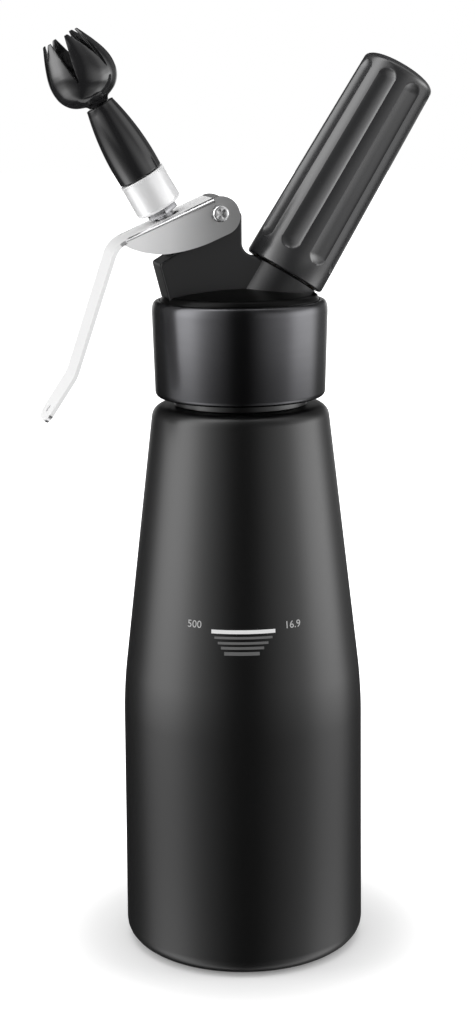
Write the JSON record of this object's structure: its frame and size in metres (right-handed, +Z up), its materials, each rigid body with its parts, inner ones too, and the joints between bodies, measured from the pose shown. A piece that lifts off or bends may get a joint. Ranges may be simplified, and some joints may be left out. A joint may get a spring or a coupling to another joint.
{
  "type": "whipped cream dispenser",
  "caption": "Tapered half litre bottle with a screw-on head, squeeze lever, leaning tulip nozzle and a fluted gas charger holder.",
  "frame": {"origin": "centre of the bottle's flat underside, on the bottle's axis", "axes": "+Z up along the bottle's axis; +X to the charger holder, -X to the lever and the nozzle; -Y to the front, where the fill mark is"},
  "size_m": [0.1273, 0.08, 0.3],
  "materials": {
    "bottle_shell": "matte black powder coat on drawn aluminium",
    "head_gasket": "grey silicone seal",
    "collar_sleeve": "satin black coat on a turned metal sleeve",
    "head_body": "satin black moulded plastic",
    "valve_seat": "turned stainless steel",
    "valve_gland": "turned stainless steel",
    "stem_ring": "black rubber ring",
    "pivot_screw": "polished stainless steel",
    "pivot_nut": "polished stainless steel",
    "check_valve": "black rubber valve",
    "pin_carrier": "turned brass",
    "piercing_pin": "hardened steel",
    "pin_seal": "black rubber washer",
    "squeeze_lever": "polished stainless sheet",
    "valve_stem": "turned stainless steel",
    "stem_seal": "black rubber seal",
    "seal_retainer": "turned stainless steel",
    "thrust_washer": "polished stainless steel",
    "adapter_lock_nut": "polished stainless steel",
    "valve_spring": "stainless spring wire",
    "nozzle_adapter": "polished stainless steel",
    "nozzle_seal": "black rubber ring",
    "nozzle_body": "glossy black moulded plastic",
    "tulip_crown": "glossy black moulded plastic",
    "gas_charger": "plain steel cylinder",
    "holder_insert": "turned brass",
    "holder_pad": "black rubber pad",
    "holder_shell": "satin black moulded plastic"
  },
  "bodies": {
    "bottle": {"bottle_shell": "bottle_shell"},
    "head_seal": {"head_gasket": "head_gasket"},
    "head": {"collar_sleeve": "collar_sleeve", "head_body": "head_body", "valve_seat": "valve_seat", "valve_gland": "valve_gland", "stem_ring": "stem_ring", "pivot_screw": "pivot_screw", "pivot_nut": "pivot_nut", "check_valve": "check_valve", "pin_carrier": "pin_carrier", "piercing_pin": "piercing_pin", "pin_seal": "pin_seal"},
    "lever": {"squeeze_lever": "squeeze_lever"},
    "valve": {"valve_stem": "valve_stem", "stem_seal": "stem_seal", "seal_retainer": "seal_retainer", "thrust_washer": "thrust_washer", "adapter_lock_nut": "adapter_lock_nut", "valve_spring": "valve_spring", "nozzle_adapter": "nozzle_adapter"},
    "nozzle_lift_ring": {"nozzle_seal": "nozzle_seal"},
    "nozzle": {"nozzle_body": "nozzle_body", "tulip_crown": "tulip_crown"},
    "charger": {"gas_charger": "gas_charger"},
    "charger_holder": {"holder_shell": "holder_shell", "holder_insert": "holder_insert", "holder_pad": "holder_pad"}
  },
  "joints": [
    {"name": "head_lift", "type": "slide", "parent": "bottle", "child": "head_seal", "axis": [0, 0, 1], "range_m": [0, 0.0201]},
    {"name": "head_unscrew", "type": "hinge", "parent": "head_seal", "child": "head", "pos_m": [0, 0, 0.2], "axis": [0, 0, 1], "range_deg": [0, 1800]},
    {"name": "lever_squeeze", "type": "hinge", "parent": "head", "child": "lever", "pos_m": [-0.00809, 0, 0.24342], "axis": [0, -1, 0], "range_deg": [0, 10], "stiffness_Nm_per_rad": 1.5, "springref_deg": -3.44},
    {"name": "valve_press", "type": "slide", "parent": "head", "child": "valve", "axis": [0.503, 0, -0.8643], "range_m": [0, 0.0026], "deforming": ["valve_spring"]},
    {"name": "nozzle_lift", "type": "slide", "parent": "valve", "child": "nozzle_lift_ring", "axis": [-0.503, 0, 0.8643], "range_m": [0, 0.0101]},
    {"name": "nozzle_unscrew", "type": "hinge", "parent": "nozzle_lift_ring", "child": "nozzle", "pos_m": [0, 0, 0.2015], "axis": [-0.503, 0, 0.8643], "range_deg": [0, 1440]},
    {"name": "charger_lift", "type": "slide", "parent": "head", "child": "charger", "axis": [0.5225, 0, 0.8526], "range_m": [0, 0.0101]},
    {"name": "holder_unscrew", "type": "hinge", "parent": "charger", "child": "charger_holder", "pos_m": [0, 0, 0.2], "axis": [0.5225, 0, 0.8526], "range_deg": [0, 1440]}
  ],
  "couplings": [
    {"joint": "head_lift", "follows": "head_unscrew", "m_per_rad": 0.00063662},
    {"joint": "valve_press", "follows": "lever_squeeze", "m_per_rad": 0.0141},
    {"joint": "nozzle_lift", "follows": "nozzle_unscrew", "m_per_rad": 0.00039789},
    {"joint": "charger_lift", "follows": "holder_unscrew", "m_per_rad": 0.00039789}
  ]
}
